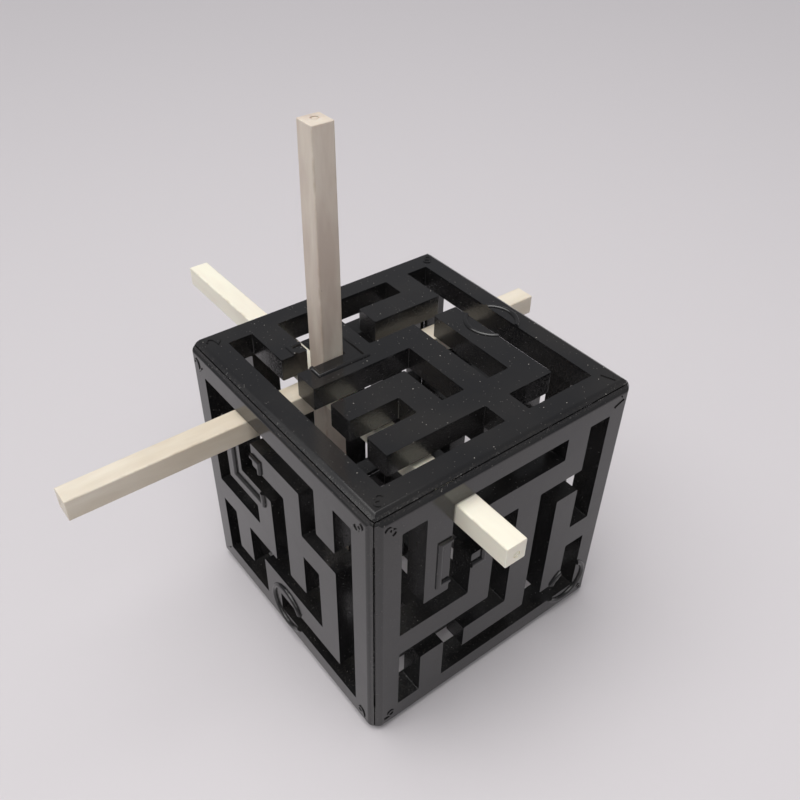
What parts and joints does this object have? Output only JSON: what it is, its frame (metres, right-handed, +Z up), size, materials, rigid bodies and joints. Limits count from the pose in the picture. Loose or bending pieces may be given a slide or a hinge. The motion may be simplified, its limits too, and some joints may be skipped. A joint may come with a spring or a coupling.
{
  "type": "maze cube puzzle",
  "caption": "Hollow cube of pierced maze plates with a captive cross of square rods that slides through the slots.",
  "frame": {"origin": "on the base plane, straight under the middle of the cross, which is the centre of the bounding box", "axes": "+Z up, out of the top plate; +X along the first level rod; +Y along the second level rod, which is the way the cross slides"},
  "size_m": [0.1764, 0.1764, 0.1738],
  "materials": {
    "black_plastic": "glossy black moulded plastic",
    "ivory_plastic": "satin ivory moulded plastic"
  },
  "bodies": {
    "cube": {"plate_top": "black_plastic", "plate_bottom": "black_plastic", "plate_left": "black_plastic", "plate_right": "black_plastic", "plate_front": "black_plastic", "plate_back": "black_plastic"},
    "cross": {"rod_x": "ivory_plastic", "rod_y": "ivory_plastic", "rod_z_upper": "ivory_plastic", "rod_z_lower": "ivory_plastic"}
  },
  "joints": [
    {"name": "cross_slide", "type": "slide", "parent": "cube", "child": "cross", "axis": [0, 1, 0], "range_m": [0, 0.018]}
  ]
}
